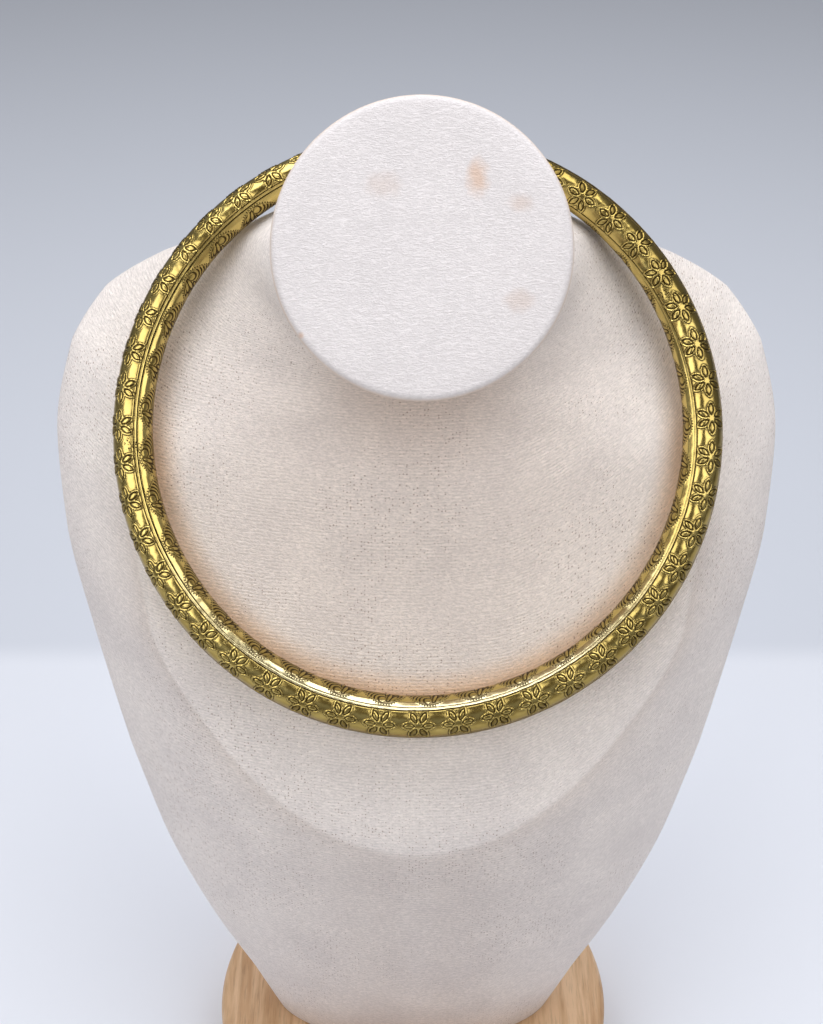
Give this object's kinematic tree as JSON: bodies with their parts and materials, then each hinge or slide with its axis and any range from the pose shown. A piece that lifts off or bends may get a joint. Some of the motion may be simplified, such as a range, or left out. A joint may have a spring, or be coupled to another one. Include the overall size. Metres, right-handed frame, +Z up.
{
  "type": "torc on a neck bust",
  "caption": "Open, hollow brass torc stamped with flowers and scallops, worn by a linen-covered neck bust on a round wooden base.",
  "frame": {"origin": "middle of the wooden base's underside, on the surface that it stands on", "axes": "+Z up, -Y to the front, where the chest and the torc's flowers face, +X to the viewer's right"},
  "size_m": [0.177, 0.123, 0.2914],
  "materials": {
    "flower_brass": "stamped brass, dark patina in the recesses, polished high spots",
    "scroll_brass": "stamped and polished brass with dark recesses",
    "plain_brass": "plain polished brass",
    "bust_linen": "off-white ribbed linen",
    "cap_linen": "off-white linen with a few faint stains",
    "base_wood": "satin rubberwood"
  },
  "bodies": {
    "root": {"flower_strip": "flower_brass", "scroll_strip": "scroll_brass", "end_cap_left": "plain_brass", "end_cap_right": "plain_brass", "neck_bust": "bust_linen", "neck_cap": "cap_linen", "wooden_base": "base_wood"}
  },
  "joints": []
}
